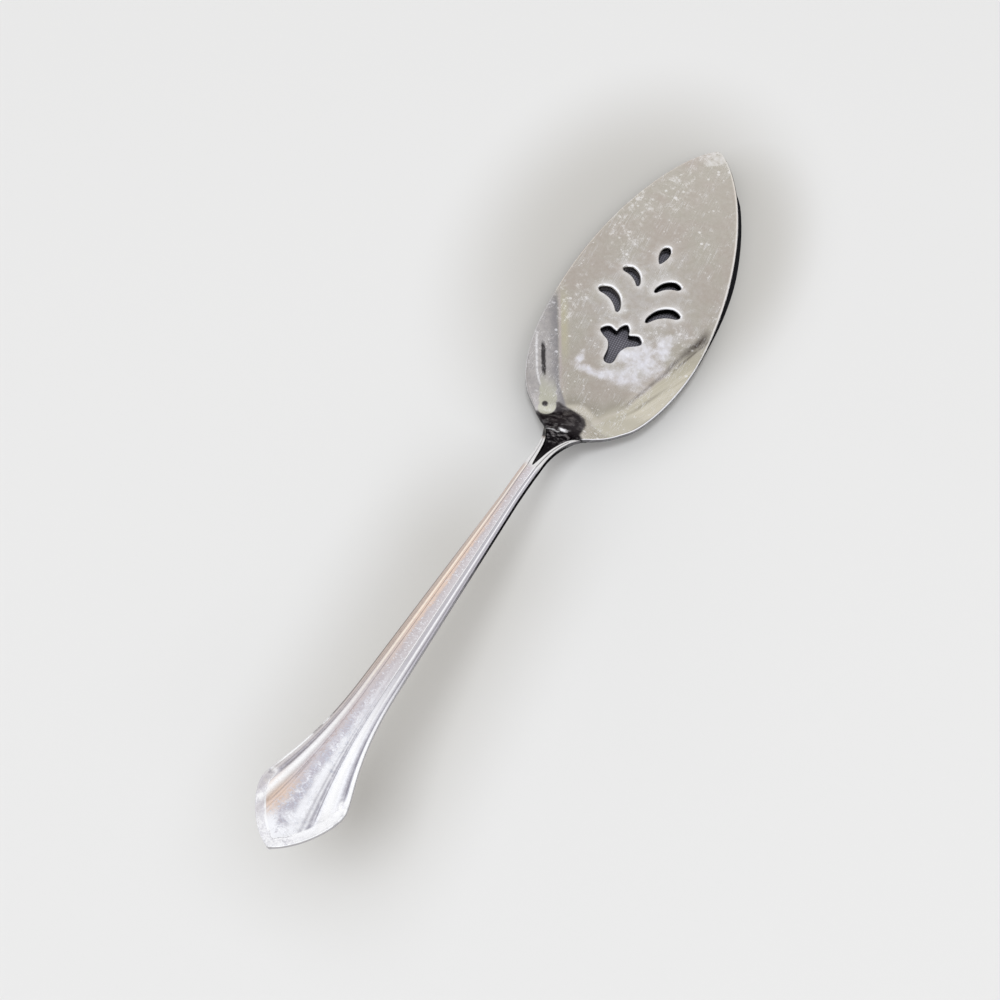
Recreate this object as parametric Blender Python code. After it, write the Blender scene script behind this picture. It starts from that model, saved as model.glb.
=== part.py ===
import math

import bmesh
import bpy

# Pie server: a pierced sheet blade whose pointed tang is brazed into the forked end of a fluted handle.
# Sizes are in millimetres. s is the distance back from the blade's tip, x is out from the middle.
MM = 0.001
GAP = 0.3

# lengths along the server, tip to end
FRONT_LENGTH = 75.0
REAR_LENGTH = 38.5
NECK_LENGTH = 32.5
STEM_LENGTH = 80.0
FLARE_LENGTH = 30.5
END_LENGTH = 14.0
CORNER_AT = FRONT_LENGTH + REAR_LENGTH
NECK_END = CORNER_AT + NECK_LENGTH
FLARE_AT = NECK_END + STEM_LENGTH
SHOULDER_AT = FLARE_AT + FLARE_LENGTH
LENGTH = SHOULDER_AT + END_LENGTH

# half widths, seen from above
BLADE_HALF = 25.0
CORNER_HALF = 16.0
STEM_HALF = 2.35
TIP_HALF = 1.1
FRONT_POWER = 1.9
FRONT_ROUND = 0.7
REAR_PULL = 17.0
CORNER_PULL = (5.5, 6.5)
HEEL_PULL = (8.0, 8.0)
NECK_PULL = (0.75, 19.5)
TAPER_AFTER = 14.0
TAPER = 0.030
FLARE = 4.7
FLARE_POWER = 2.4
END_HALF = 0.5
END_POWER = 1.4
END_ROUND = 0.8
SHOULDER_SOFT = 0.35

# blade section; the rear sides turn up from a fold that runs in to the heel
SHEET = 2.0
EDGE_BACK = 0.8
EDGE_DROP = 0.5
FOLD_AHEAD = 3.0
FOLD_SLOPE = 0.47
FOLD_MIN = 2.5
FOLD_SOFT = 0.25
WING_RISE = 3.0
WING_HOLD = 9.3
FOLD_FROM = FRONT_LENGTH - FOLD_AHEAD

# side profile: flat floor, hollow heel, straight neck, round shoulder, straight handle
HEEL_AHEAD = 5.3
HEEL_R = 9.0
HEEL_LAG = 0.13
LAG_MOST = 8.0
LAG_HOLD = 4.5
LAG_FADE = 12.0
NECK_ANGLE = math.radians(33.5)
BEND_AHEAD = 10.0
BEND_R = 87.0
HANDLE_ANGLE = math.radians(19.5)
HEEL_AT = CORNER_AT - HEEL_AHEAD
BEND_AT = NECK_END - BEND_AHEAD

# lap joint: a tongue under the heel and two rails that hold the tang
RAIL_AFTER = 10.5
RAIL_START = 0.45
RAIL_UP = 0.3
APEX_AHEAD = 2.0
FORK_POWER = 0.68
TANG_HALF = 0.35
TONGUE_LENGTH = 7.0
TONGUE_THIN = 0.7
TONGUE_HALF = 0.8
SLAB = 1.8
RAIL_AT = CORNER_AT + RAIL_AFTER
APEX_AT = NECK_END - APEX_AHEAD
TONGUE_AT = RAIL_AT - TONGUE_LENGTH
WING_END = RAIL_AT + APEX_AHEAD

# handle section
END_THICK = 2.2
FLUTE = 0.42
GROOVES = (0.40, 0.82)
GROOVE_WIDE = 0.09
FLUTE_RUN = 8.0
BORDER = 2.2
NECK_THICK = SHEET + RAIL_UP + GAP + SLAB

# piercing
DROP_TOP = 44.2
DROP_BOTTOM = 51.0
DROP_HALF = 1.75
UPPER_OUT = (9.3, 57.1)
UPPER_IN = (2.75, 61.9)
UPPER_BULGE = 1.5
UPPER_THICK = 2.7
LOWER_OUT = (13.1, 67.2)
LOWER_IN = (4.6, 73.6)
LOWER_BULGE = 2.0
LOWER_THICK = 3.3
LILY = ((0.0, 77.1), (1.3, 78.5), (2.0, 80.3), (4.75, 79.6), (6.5, 81.5), (5.2, 83.0), (2.9, 84.5),
        (1.7, 87.2), (1.35, 91.1), (0.0, 92.0))


def smooth(t):
    t = min(1.0, max(0.0, t))
    return t * t * (3.0 - 2.0 * t)


def bezier(points, s):
    # half width where the curve is at distance s
    low = 0.0
    high = 1.0
    for step in range(50):
        t = 0.5 * (low + high)
        weights = ((1 - t) ** 3, 3 * t * (1 - t) ** 2, 3 * t * t * (1 - t), t ** 3)
        if sum(w * p[1] for w, p in zip(weights, points)) < s:
            low = t
        else:
            high = t
    return sum(w * p[0] for w, p in zip(weights, points))


def stem(s):
    half = STEM_HALF + TAPER * max(0.0, s - NECK_END - TAPER_AFTER)
    flare = max(0.0, s - FLARE_AT) / FLARE_LENGTH
    return half + FLARE * flare ** FLARE_POWER


def half_width(s):
    widest = (BLADE_HALF, FRONT_LENGTH)
    corner = (CORNER_HALF, CORNER_AT)
    if s <= FRONT_LENGTH:
        u = 1.0 - s / FRONT_LENGTH
        return max(TIP_HALF, BLADE_HALF * (1.0 - u ** FRONT_POWER) ** FRONT_ROUND)
    if s <= CORNER_AT:
        rear = (BLADE_HALF, FRONT_LENGTH + REAR_PULL)
        turn = (CORNER_HALF + CORNER_PULL[0], CORNER_AT - CORNER_PULL[1])
        return bezier((widest, rear, turn, corner), s)
    if s <= NECK_END:
        heel = (CORNER_HALF - HEEL_PULL[0], CORNER_AT + HEEL_PULL[1])
        neck = (STEM_HALF - NECK_PULL[0], NECK_END - NECK_PULL[1])
        return bezier((corner, heel, neck, (STEM_HALF, NECK_END)), s)
    v = min(1.0, max(0.0, s - SHOULDER_AT) / END_LENGTH)
    end = max(END_HALF, stem(SHOULDER_AT) * (1.0 - v ** END_POWER) ** END_ROUND)
    both = math.exp((end - stem(s)) / SHOULDER_SOFT)
    return end - SHOULDER_SOFT * math.log(1.0 + both)


def height(s):
    # underside of the sheet along the middle
    arc_end = HEEL_AT + HEEL_R * math.sin(NECK_ANGLE)
    arc_z = HEEL_R * (1.0 - math.cos(NECK_ANGLE))
    bend_z = arc_z + (BEND_AT - arc_end) * math.tan(NECK_ANGLE)
    over_at = BEND_AT + BEND_R * (math.sin(NECK_ANGLE) - math.sin(HANDLE_ANGLE))
    over_z = bend_z + BEND_R * (math.cos(HANDLE_ANGLE) - math.cos(NECK_ANGLE))
    if s <= HEEL_AT:
        return 0.0
    if s <= arc_end:
        return HEEL_R - math.sqrt(HEEL_R ** 2 - (s - HEEL_AT) ** 2)
    if s <= BEND_AT:
        return arc_z + (s - arc_end) * math.tan(NECK_ANGLE)
    if s <= over_at:
        centre = BEND_AT + BEND_R * math.sin(NECK_ANGLE)
        return bend_z - BEND_R * math.cos(NECK_ANGLE) + math.sqrt(BEND_R ** 2 - (centre - s) ** 2)
    return over_z + (s - over_at) * math.tan(HANDLE_ANGLE)


def dip(x, s):
    # the heel is dished: its hollow starts later away from the middle
    lag = LAG_MOST * (1.0 - math.exp(-HEEL_LAG * x * x / LAG_MOST))
    lag *= 1.0 - smooth((s - CORNER_AT - LAG_HOLD) / LAG_FADE)
    return height(s - lag) - height(s)


def wing(x, s):
    fold = max(FOLD_MIN, BLADE_HALF - (s - FOLD_FROM) * FOLD_SLOPE)
    half = half_width(s)
    hold = HEEL_AT + WING_HOLD
    if s <= FOLD_FROM or s >= WING_END or half <= fold:
        return 0.0
    rise = WING_RISE * smooth((s - FOLD_FROM) / (HEEL_AT - FOLD_FROM))
    rise *= 1.0 - smooth((s - hold) / (WING_END - hold))
    out = (abs(x) - fold) / (half - fold)
    return rise * (out + math.hypot(out, FOLD_SOFT)) / (1.0 + math.hypot(1.0, FOLD_SOFT))


def pocket(s):
    # half width between the rails, closing to a point at the apex
    t = min(1.0, max(0.0, (s - RAIL_AT) / (APEX_AT - RAIL_AT)))
    return (half_width(s) - RAIL_START) * (1.0 - t) ** FORK_POWER


def tang(s):
    if s <= RAIL_AT - 3 * GAP:
        return half_width(s)
    return pocket(max(s, RAIL_AT)) - GAP


def tang_end():
    low = RAIL_AT
    high = APEX_AT
    for step in range(40):
        middle = 0.5 * (low + high)
        if tang(middle) > TANG_HALF:
            low = middle
        else:
            high = middle
    return low


def point(x, s, z):
    return (x * MM, (0.5 * LENGTH - s) * MM, z * MM)


def spread(first, last, count):
    return [first + (last - first) * i / count for i in range(count)]


def loft(name, rows):
    # rows of matching rings become one closed skin
    mesh = bmesh.new()
    rings = [[mesh.verts.new(p) for p in row] for row in rows]
    for a, b in zip(rings, rings[1:]):
        for i in range(len(a)):
            j = (i + 1) % len(a)
            mesh.faces.new((a[i], a[j], b[j], b[i]))
    mesh.faces.new(rings[0][::-1])
    mesh.faces.new(rings[-1])
    return finish(name, mesh)


def finish(name, mesh):
    bmesh.ops.recalc_face_normals(mesh, faces=mesh.faces[:])
    data = bpy.data.meshes.new(name)
    for face in mesh.faces:
        face.smooth = True
    mesh.to_mesh(data)
    mesh.free()
    made = bpy.data.objects.new(name, data)
    bpy.context.scene.collection.objects.link(made)
    return made


def metal(made, colour, roughness):
    material = bpy.data.materials.new(made.name + "_metal")
    material.use_nodes = True
    shader = material.node_tree.nodes["Principled BSDF"]
    shader.inputs["Base Color"].default_value = (*colour, 1.0)
    shader.inputs["Metallic"].default_value = 1.0
    shader.inputs["Roughness"].default_value = roughness
    made.data.materials.append(material)


def cut(made, cutter):
    cutter.hide_render = True
    cutter.display_type = "WIRE"
    step = made.modifiers.new("cut " + cutter.name, "BOOLEAN")
    step.operation = "DIFFERENCE"
    step.solver = "EXACT"
    step.object = cutter


def prism(name, outline, low, high):
    rows = [[point(x, s, z) for x, s in outline] for z in (low, high)]
    return loft(name, rows)


def blade_ring(s):
    half = tang(s)
    back = min(EDGE_BACK, 0.4 * half)
    inner = half - back
    across = [inner * f for f in (0.0, 0.2, 0.4, 0.56, 0.7, 0.81, 0.9, 1.0)]
    right = [(x, 0.0) for x in across]
    right.append((half - 0.3 * back, 0.35 * EDGE_DROP))
    right.append((half, EDGE_DROP))
    left = [(-x, drop) for x, drop in right[:0:-1]]
    ring = []
    for x, drop in left + right:
        ring.append(point(x, s, height(s) + dip(x, s) + wing(x, s) + SHEET - drop))
    for x, drop in (left + right)[::-1]:
        ring.append(point(x, s, height(s) + dip(x, s) + wing(x, s) + drop))
    return ring


def blade_rows():
    front = [FRONT_LENGTH * (1.0 - math.cos(0.5 * math.pi * i / 18)) for i in range(18)]
    rear = spread(FRONT_LENGTH, HEEL_AT, 10)
    heel = spread(HEEL_AT, RAIL_AT - 3 * GAP, 16)
    neck = [RAIL_AT - 3 * GAP] + spread(RAIL_AT - GAP, tang_end(), 7)
    return [blade_ring(s) for s in front + rear + heel + neck + [tang_end()]]


def crescent(outer, inner, bulge, thick):
    # thick near the outer end, bowed toward the tip, tapering to the inner end
    run = (inner[0] - outer[0], inner[1] - outer[1])
    length = math.hypot(*run)
    side = (-run[1] / length, run[0] / length)
    upper = []
    lower = []
    steps = 14
    for i in range(1, steps):
        t = i / steps
        bow = bulge * 4.0 * t * (1.0 - t)
        thin = 0.5 * thick * math.sqrt(min(1.0, t / 0.15)) * (1.0 - t) ** 0.4
        x = outer[0] + run[0] * t
        s = outer[1] + run[1] * t
        upper.append((x + side[0] * (bow + thin), s + side[1] * (bow + thin)))
        lower.append((x + side[0] * (bow - thin), s + side[1] * (bow - thin)))
    return [outer] + upper + [inner] + lower[::-1]


def lily():
    # a smooth curve through the right half's points, then its mirror image
    half = []
    reach = ((-LILY[1][0], LILY[1][1]),) + LILY + ((-LILY[-2][0], LILY[-2][1]),)
    for a, b, c, d in zip(reach, reach[1:], reach[2:], reach[3:]):
        for i in range(4):
            t = i / 4
            half.append(tuple(0.5 * (2 * q + (r - p) * t + (2 * p - 5 * q + 4 * r - u) * t * t
                              + (3 * q - p - 3 * r + u) * t ** 3) for p, q, r, u in zip(a, b, c, d)))
    left = [(-x, s) for x, s in half[:0:-1]]
    return half + [LILY[-1]] + left


def teardrop():
    ring = []
    for i in range(20):
        t = 2.0 * math.pi * (i + 0.5) / 20
        along = 0.5 - 0.5 * math.cos(t)
        across = DROP_HALF * math.sin(t) * math.sin(0.5 * t if t < math.pi else math.pi - 0.5 * t) ** 0.7
        ring.append((across, DROP_BOTTOM - (DROP_BOTTOM - DROP_TOP) * along))
    return ring


def build_blade():
    made = loft("blade", blade_rows())
    right = {"upper": crescent(UPPER_OUT, UPPER_IN, UPPER_BULGE, UPPER_THICK),
             "lower": crescent(LOWER_OUT, LOWER_IN, LOWER_BULGE, LOWER_THICK)}
    holes = {"lily_cutter": lily(), "teardrop_cutter": teardrop()}
    for name, outline in right.items():
        holes[name + "_right_cutter"] = outline
        holes[name + "_left_cutter"] = [(-x, s) for x, s in outline]
    for name, outline in holes.items():
        cut(made, prism(name, outline, -SHEET, 2 * SHEET))
    metal(made, (0.72, 0.69, 0.63), 0.2)


def flute(x, s):
    # grooves beside a rib on each side; past the shoulder they fan on and run out at the border
    depth = FLUTE * smooth((s - APEX_AT) / FLUTE_RUN)
    margin = min(half_width(s) - x, LENGTH - s)
    if s > SHOULDER_AT:
        depth *= smooth((margin - 0.4 * BORDER) / BORDER)
    f = x / stem(s)
    return depth * sum(max(0.0, 1.0 - ((f - at) / GROOVE_WIDE) ** 2) for at in GROOVES)


def thickness(s):
    t = smooth((s - NECK_END) / (SHOULDER_AT - NECK_END))
    return NECK_THICK + (END_THICK - NECK_THICK) * t


def handle_ring(s):
    half = half_width(s)
    top = height(s) + SHEET + RAIL_UP
    low = top - thickness(s)
    if s < RAIL_AT:
        back = (RAIL_AT - s) / TONGUE_LENGTH
        half = max(TONGUE_HALF, half_width(RAIL_AT) * math.sqrt(max(0.0, 1.0 - back ** 2)))
    if s < APEX_AT:
        thick = TONGUE_THIN + (SLAB - TONGUE_THIN) * smooth((s - TONGUE_AT) / (APEX_AT - TONGUE_AT))
        low = height(s) - GAP - thick
    deep = top - low
    right = [(0.0, low), (0.45 * half, low + 0.02 * deep), (0.8 * half, low + 0.12 * deep), (half, low + 0.4 * deep),
             (half, top - 0.18 * deep), (0.97 * half, top - 0.05 * deep)]
    for f in (0.92, 0.87, 0.82, 0.77, 0.72, 0.61, 0.5, 0.45, 0.4, 0.35, 0.3, 0.15, 0.0):
        right.append((f * half, top - flute(f * half, s)))
    left = [(-x, z) for x, z in right[-2:0:-1]]
    return [point(x, s, z + dip(x, s)) for x, z in right + left]


def build_handle():
    tongue = spread(TONGUE_AT, RAIL_AT, 6)
    fork = spread(RAIL_AT, APEX_AT, 10)
    shaft = spread(APEX_AT, FLARE_AT, 20)
    fan = spread(FLARE_AT, SHOULDER_AT, 12)
    end = [SHOULDER_AT + END_LENGTH * math.sin(0.5 * math.pi * i / 9) for i in range(10)]
    made = loft("handle", [handle_ring(s) for s in tongue + fork + shaft + fan + end])
    rows = []
    for s in [TONGUE_AT - SLAB] + spread(TONGUE_AT, RAIL_AT - 2 * GAP, 5) + [RAIL_AT - 2 * GAP]:
        rows.append((s, half_width(RAIL_AT) + SLAB))
    for s in spread(RAIL_AT, APEX_AT - 2 * GAP, 9) + [APEX_AT - 2 * GAP]:
        rows.append((s, pocket(s)))
    opening = []
    for s, half in rows:
        floor = height(s) - GAP
        ring = [point(half * k / 4, s, floor + dip(half * k / 4, s)) for k in range(-4, 5)]
        opening.append(ring + [point(half, s, floor + 4 * SHEET), point(-half, s, floor + 4 * SHEET)])
    cut(made, loft("pocket_cutter", opening))
    metal(made, (0.77, 0.76, 0.77), 0.18)


for thing in list(bpy.data.objects):
    bpy.data.objects.remove(thing, do_unlink=True)
build_blade()
build_handle()
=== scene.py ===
import math
from functools import lru_cache

import bmesh
import bpy
from mathutils import Euler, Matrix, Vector
from mathutils.kdtree import KDTree


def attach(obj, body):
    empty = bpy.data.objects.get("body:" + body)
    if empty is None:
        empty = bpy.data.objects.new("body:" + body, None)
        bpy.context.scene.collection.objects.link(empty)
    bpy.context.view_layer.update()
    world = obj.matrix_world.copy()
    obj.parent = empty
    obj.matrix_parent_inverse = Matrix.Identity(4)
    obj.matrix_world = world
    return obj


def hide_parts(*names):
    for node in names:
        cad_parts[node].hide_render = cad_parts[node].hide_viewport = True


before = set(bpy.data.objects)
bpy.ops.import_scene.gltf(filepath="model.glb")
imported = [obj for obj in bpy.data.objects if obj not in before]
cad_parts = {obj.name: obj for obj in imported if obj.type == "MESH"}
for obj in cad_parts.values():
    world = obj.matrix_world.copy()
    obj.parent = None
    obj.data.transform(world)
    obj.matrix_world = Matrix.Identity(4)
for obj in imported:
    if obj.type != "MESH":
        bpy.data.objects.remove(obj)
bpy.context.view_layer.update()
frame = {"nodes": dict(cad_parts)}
mm = 0.001
print("frame loaded:", ", ".join(frame["nodes"]))

# The server's own line, in mm: s runs back from the tip, x out from the middle
serverLine = {
    "front": 75.0, "corner": 113.5, "neckEnd": 146.0, "flare": 226.0, "shoulder": 256.5, "end": 270.5,
    "bladeHalf": 25.0, "cornerHalf": 16.0, "stemHalf": 2.35, "flareOut": 4.7, "endBow": 1.62,
    "endTaper": 0.73, "shoulderSoft": 0.6, "heelAt": 108.2, "heelRadius": 9.0, "heelLag": 0.13,
    "lagMost": 8.0, "neckAngle": 33.5, "bendAt": 136.0, "bendRadius": 87.0, "handleAngle": 19.5,
    "railAt": 122.5, "apexAt": 146.0, "railStart": 0.16, "gap": 0.08,
}


def ease(t):
    t = min(1.0, max(0.0, t))
    return t * t * (3.0 - 2.0 * t)


def place(x, s, z):
    return Vector((x * mm, (0.5 * serverLine["end"] - s) * mm, z * mm))


def curveWidth(points, s):
    low, high = 0.0, 1.0
    for step in range(48):  # halve the curve until it stands at s
        t = 0.5 * (low + high)
        share = ((1 - t) ** 3, 3 * t * (1 - t) ** 2, 3 * t * t * (1 - t), t ** 3)
        if sum(k * p[1] for k, p in zip(share, points)) < s:
            low = t
        else:
            high = t
    return sum(k * p[0] for k, p in zip(share, points))


def flareWidth(s):
    g = serverLine
    flare = max(0.0, s - g["flare"]) / (g["shoulder"] - g["flare"])
    return g["stemHalf"] + 0.03 * max(0.0, s - g["neckEnd"] - 14.0) + g["flareOut"] * flare ** 2.4


@lru_cache(maxsize=None)
def halfWidth(s):
    g = serverLine
    corner = (g["cornerHalf"], g["corner"])
    if s <= g["front"]:
        u = 1.0 - s / g["front"]
        return max(0.6, g["bladeHalf"] * (1.0 - u ** 1.9) ** 0.7)
    if s <= g["corner"]:
        pulls = ((g["bladeHalf"], g["front"] + 17.0), (corner[0] + 5.5, corner[1] - 6.5))
        return curveWidth(((g["bladeHalf"], g["front"]), *pulls, corner), s)
    if s <= g["neckEnd"]:
        pulls = ((corner[0] - 8.0, corner[1] + 8.0), (g["stemHalf"] - 0.75, g["neckEnd"] - 19.5))
        return curveWidth((corner, *pulls, (g["stemHalf"], g["neckEnd"])), s)
    v = min(1.0, max(0.0, s - g["shoulder"]) / (g["end"] - g["shoulder"]))
    end = max(0.35, flareWidth(g["shoulder"]) * (1.0 - v ** g["endBow"]) ** g["endTaper"])
    soft = g["shoulderSoft"]
    # soft shoulder where flare meets end
    return end - soft * math.log(1.0 + math.exp((end - flareWidth(s)) / soft))


@lru_cache(maxsize=None)
def riseAt(s):
    g = serverLine
    neck, handle = math.radians(g["neckAngle"]), math.radians(g["handleAngle"])
    arcEnd = g["heelAt"] + g["heelRadius"] * math.sin(neck)
    arcZ = g["heelRadius"] * (1.0 - math.cos(neck))
    bendZ = arcZ + (g["bendAt"] - arcEnd) * math.tan(neck)
    overAt = g["bendAt"] + g["bendRadius"] * (math.sin(neck) - math.sin(handle))
    if s <= g["heelAt"]:
        return 0.0
    if s <= arcEnd:
        return g["heelRadius"] - math.sqrt(g["heelRadius"] ** 2 - (s - g["heelAt"]) ** 2)
    if s <= g["bendAt"]:
        return arcZ + (s - arcEnd) * math.tan(neck)
    centre = g["bendAt"] + g["bendRadius"] * math.sin(neck)
    low = bendZ - g["bendRadius"] * math.cos(neck)
    if s <= overAt:
        return low + math.sqrt(g["bendRadius"] ** 2 - (centre - s) ** 2)
    return low + g["bendRadius"] * math.cos(handle) + (s - overAt) * math.tan(handle)


def dipAt(x, s):  # the heel's hollow starts later away from the middle
    g = serverLine
    lag = g["lagMost"] * (1.0 - math.exp(-g["heelLag"] * x * x / g["lagMost"]))
    lag *= 1.0 - ease((s - g["corner"] - 4.5) / 12.0)
    return riseAt(s - lag) - riseAt(s)


def pocketHalf(s):
    g = serverLine
    t = min(1.0, max(0.0, (s - g["railAt"]) / (g["apexAt"] - g["railAt"])))
    return (halfWidth(s) - g["railStart"]) * (1.0 - t) ** 0.68


def newPiece(name, bm):
    bmesh.ops.recalc_face_normals(bm, faces=bm.faces[:])
    data = bpy.data.meshes.new(name)
    bm.to_mesh(data)
    bm.free()
    piece = bpy.data.objects.new(name, data)
    bpy.context.scene.collection.objects.link(piece)
    return piece


def cutAway(piece, cutter, sharpAngle):
    step = piece.modifiers.new("cut", "BOOLEAN")
    step.operation = "DIFFERENCE"
    step.solver = "EXACT"
    step.object = cutter
    bpy.context.view_layer.update()
    result = bpy.data.meshes.new_from_object(piece.evaluated_get(bpy.context.evaluated_depsgraph_get()))
    piece.modifiers.clear()
    piece.data = result
    bpy.data.objects.remove(cutter, do_unlink=True)
    result.shade_smooth()
    result.set_sharp_from_angle(angle=math.radians(sharpAngle))


def ringLoop(bm, points):
    verts = [bm.verts.new(p) for p in points]
    return [bm.edges.new((a, b)) for a, b in zip(verts, verts[1:] + verts[:1])]


def stackRings(bm, rings):
    loops = [ringLoop(bm, ring) for ring in rings]
    for a, b in zip(loops, loops[1:]):
        bmesh.ops.bridge_loops(bm, edges=a + b)
    for loop in (loops[0], loops[-1]):
        bmesh.ops.contextual_create(bm, geom=loop)


# Blade: leaf-shaped sheet, turned-up rear sides, hollow heel, pointed tang
bladeSheet = {
    "along": 280, "across": 104, "rimColumns": 14, "thick": 2.0, "rimFront": (1.2, 0.8),
    "rimLeft": (0.5, 0.35), "rimRear": (0.55, 0.5), "foldFrom": 72.0, "foldSlope": 0.47, "foldTurn": 2.4,
    "foldMin": 2.5, "foldSoft": 0.2, "wingRise": 3.0, "wingHold": 117.5, "wingEnd": 126.0, "tangEnd": 145.2,
    "holeRound": 0.32, "haloReach": 1.7, "lipReach": 1.1, "wallNear": (0.05, 0.22),
    "hollowFront": ((-14.0, 120.5), (-9.6, 117.6), (-8.0, 112.4), (-7.0, 111.3), (-3.1, 112.1),
                    (0.6, 113.4), (2.7, 114.5), (3.8, 116.6)),
    "hollowRight": ((114.0, 2.4), (117.0, 4.0), (123.0, 4.6), (126.0, 7.5)),
}


def lineAt(points, v):
    for (a, low), (b, high) in zip(points, points[1:]):
        if v < b:
            return low + (high - low) * max(0.0, (v - a) / (b - a))
    return points[-1][1]


def foldAt(s):
    b = bladeSheet
    run = max(0.0, s - b["foldFrom"]) * b["foldSlope"] + b["foldTurn"] * ease((s - 104.0) / 10.0)
    return max(b["foldMin"], serverLine["bladeHalf"] - run)


def wingAt(x, s):
    b = bladeSheet
    fold, half = foldAt(s), halfWidth(s)
    if s <= b["foldFrom"] or s >= b["wingEnd"] or half <= fold:
        return 0.0
    lift = b["wingRise"] * ease((s - b["foldFrom"]) / (serverLine["heelAt"] - b["foldFrom"]))
    lift *= 1.0 - ease((s - b["wingHold"]) / (b["wingEnd"] - b["wingHold"]))
    out = (abs(x) - fold) / (half - fold)
    return lift * (out + math.hypot(out, b["foldSoft"])) / (1.0 + math.hypot(1.0, b["foldSoft"]))


def bladeHalfAt(s):
    if s <= serverLine["railAt"] - 3 * serverLine["gap"]:
        return halfWidth(s)
    return pocketHalf(max(s, serverLine["railAt"])) - serverLine["gap"]


def bladeStation(t):
    front = serverLine["front"]
    if t < 0.5:
        return front * (1.0 - math.cos(math.pi * t))
    return front + (bladeSheet["tangEnd"] - front) * (t - 0.5) / 0.5


def makeBladeSheet():
    b = bladeSheet
    bm = bmesh.new()
    bmesh.ops.create_grid(bm, x_segments=b["across"], y_segments=b["along"], size=1.0)
    marks = {name: bm.verts.layers.float.new(name) for name in ("paintedDark", "edge")}
    inner = b["across"] // 2 - b["rimColumns"]
    drops = {}
    for v in bm.verts:
        s = round(bladeStation(round(b["along"] * (0.5 - 0.5 * v.co.y)) / b["along"]), 6)
        column = round(abs(v.co.x) * b["across"] / 2)
        half = bladeHalfAt(s)
        rear = ease((s - 62.0) / 24.0)
        side = b["rimFront"] if v.co.x > 0.0 else b["rimLeft"]
        back, deep = (a + (c - a) * rear for a, c in zip(side, b["rimRear"]))
        back = min(back, 0.4 * half)
        turn = 0.5 * math.pi * max(0, column - inner) / b["rimColumns"]
        x = (half - back) * min(1.0, column / inner) + back * math.sin(turn)
        drop = deep * (1.0 - math.cos(turn))
        if s < deep:
            drop = max(drop, deep * (1.0 - math.sqrt(max(0.0, 1.0 - (1.0 - s / deep) ** 2))))
        x = math.copysign(x, v.co.x)
        # edge: where the rim gets a painted highlight, brighter toward the rear
        if x > 0.0:
            bright = 0.4 + 0.6 * ease((s - 72.0) / 16.0)
            v[marks["edge"]] = ease((s - 14.0) / 8.0) * bright * ease((turn - 0.2) / 0.5)
        else:
            v[marks["edge"]] = 0.6 * rear * ease((turn - 0.75) / 0.4) * (1.0 - ease((s - 108.0) / 4.0))
        # mask of the heel's hollow, where a dark reflection is painted
        within = min(s - lineAt(b["hollowFront"], x), 1.2 * (lineAt(b["hollowRight"], s) - x))
        v[marks["paintedDark"]] = ease(0.5 + within / 0.9)
        v.co = place(x, s, riseAt(s) + dipAt(x, s) + wingAt(x, s) + b["thick"] - drop)
        drops[v.index] = (b["thick"] - 2.0 * drop) * mm
    made = bmesh.ops.extrude_face_region(bm, geom=bm.faces[:], use_keep_orig=True)
    lower = [e for e in made["geom"] if isinstance(e, bmesh.types.BMVert)]
    upper = list(bm.verts)[: len(drops)]
    for top, under in zip(upper, lower):
        under.co = top.co - Vector((0.0, 0.0, drops[top.index]))
    return newPiece("bladeSheet", bm)


# Piercing: a lily, two pairs of crescents and a drop, in mm on the flat floor
bladePiercing = {
    "drop": (44.2, 51.0, 1.75),
    "upper": ((9.4, 57.0), (2.75, 61.9), 1.5, 3.05), "lower": ((13.2, 67.1), (4.6, 73.6), 2.0, 3.75),
    "lily": ((0.0, 77.1), (1.3, 78.5), (2.0, 80.3), (4.75, 79.6), (6.5, 81.5), (5.2, 83.0), (2.9, 84.5),
             (1.7, 87.2), (1.35, 91.1), (0.0, 92.0)),
}


def crescentLine(outer, inner, bulge, thick):
    run = Vector(inner) - Vector(outer)
    side = Vector((-run.y, run.x)).normalized()
    upper, lower = [], []
    for i in range(1, 36):
        t = i / 36
        bow = bulge * 4.0 * t * (1.0 - t)
        thin = 0.5 * thick * math.sqrt(min(1.0, t / 0.15)) * (1.0 - t) ** 0.4
        middle = Vector(outer) + run * t
        upper.append(middle + side * (bow + thin))
        lower.append(middle + side * (bow - thin))
    return [Vector(outer)] + upper + [Vector(inner)] + lower[::-1]


def lilyLine(marks):
    points = [Vector(p) for p in marks]
    reach = [Vector((-points[1].x, points[1].y))] + points + [Vector((-points[-2].x, points[-2].y))]
    half = []
    for a, b, c, d in zip(reach, reach[1:], reach[2:], reach[3:]):
        for i in range(9):
            t = i / 9
            square, cube = 2 * a - 5 * b + 4 * c - d, 3 * b - a - 3 * c + d
            half.append(0.5 * (2 * b + (c - a) * t + square * t * t + cube * t ** 3))
    return half + [points[-1]] + [Vector((-p.x, p.y)) for p in half[:0:-1]]


def dropLine(top, bottom, half):
    line = []
    for i in range(40):
        t = 2.0 * math.pi * (i + 0.5) / 40
        across = half * math.sin(t) * math.sin(0.5 * t if t < math.pi else math.pi - 0.5 * t) ** 0.7
        line.append(Vector((across, bottom - (bottom - top) * (0.5 - 0.5 * math.cos(t)))))
    return line


def roundedCutter(bm, line):
    area = sum(a.x * b.y - b.x * a.y for a, b in zip(line, line[1:] + line[:1]))
    out = []
    for i, p in enumerate(line):  # outward direction at each point of the outline
        along = (line[(i + 1) % len(line)] - line[i - 1]).normalized()
        out.append(Vector((along.y, -along.x)) * (1.0 if area > 0 else -1.0))
    r, thick = bladeSheet["holeRound"], bladeSheet["thick"]
    levels = [(0.0, -1.0), (0.0, thick - r)]
    levels += [(r * (1.0 - math.cos(a)), thick - r + r * math.sin(a)) for a in (0.4, 0.8, 1.15, 1.45)]
    levels += [(r, thick + 0.4)]
    stackRings(bm, [[place(p.x + o.x * w, p.y + o.y * w, z) for p, o in zip(line, out)] for w, z in levels])


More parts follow.
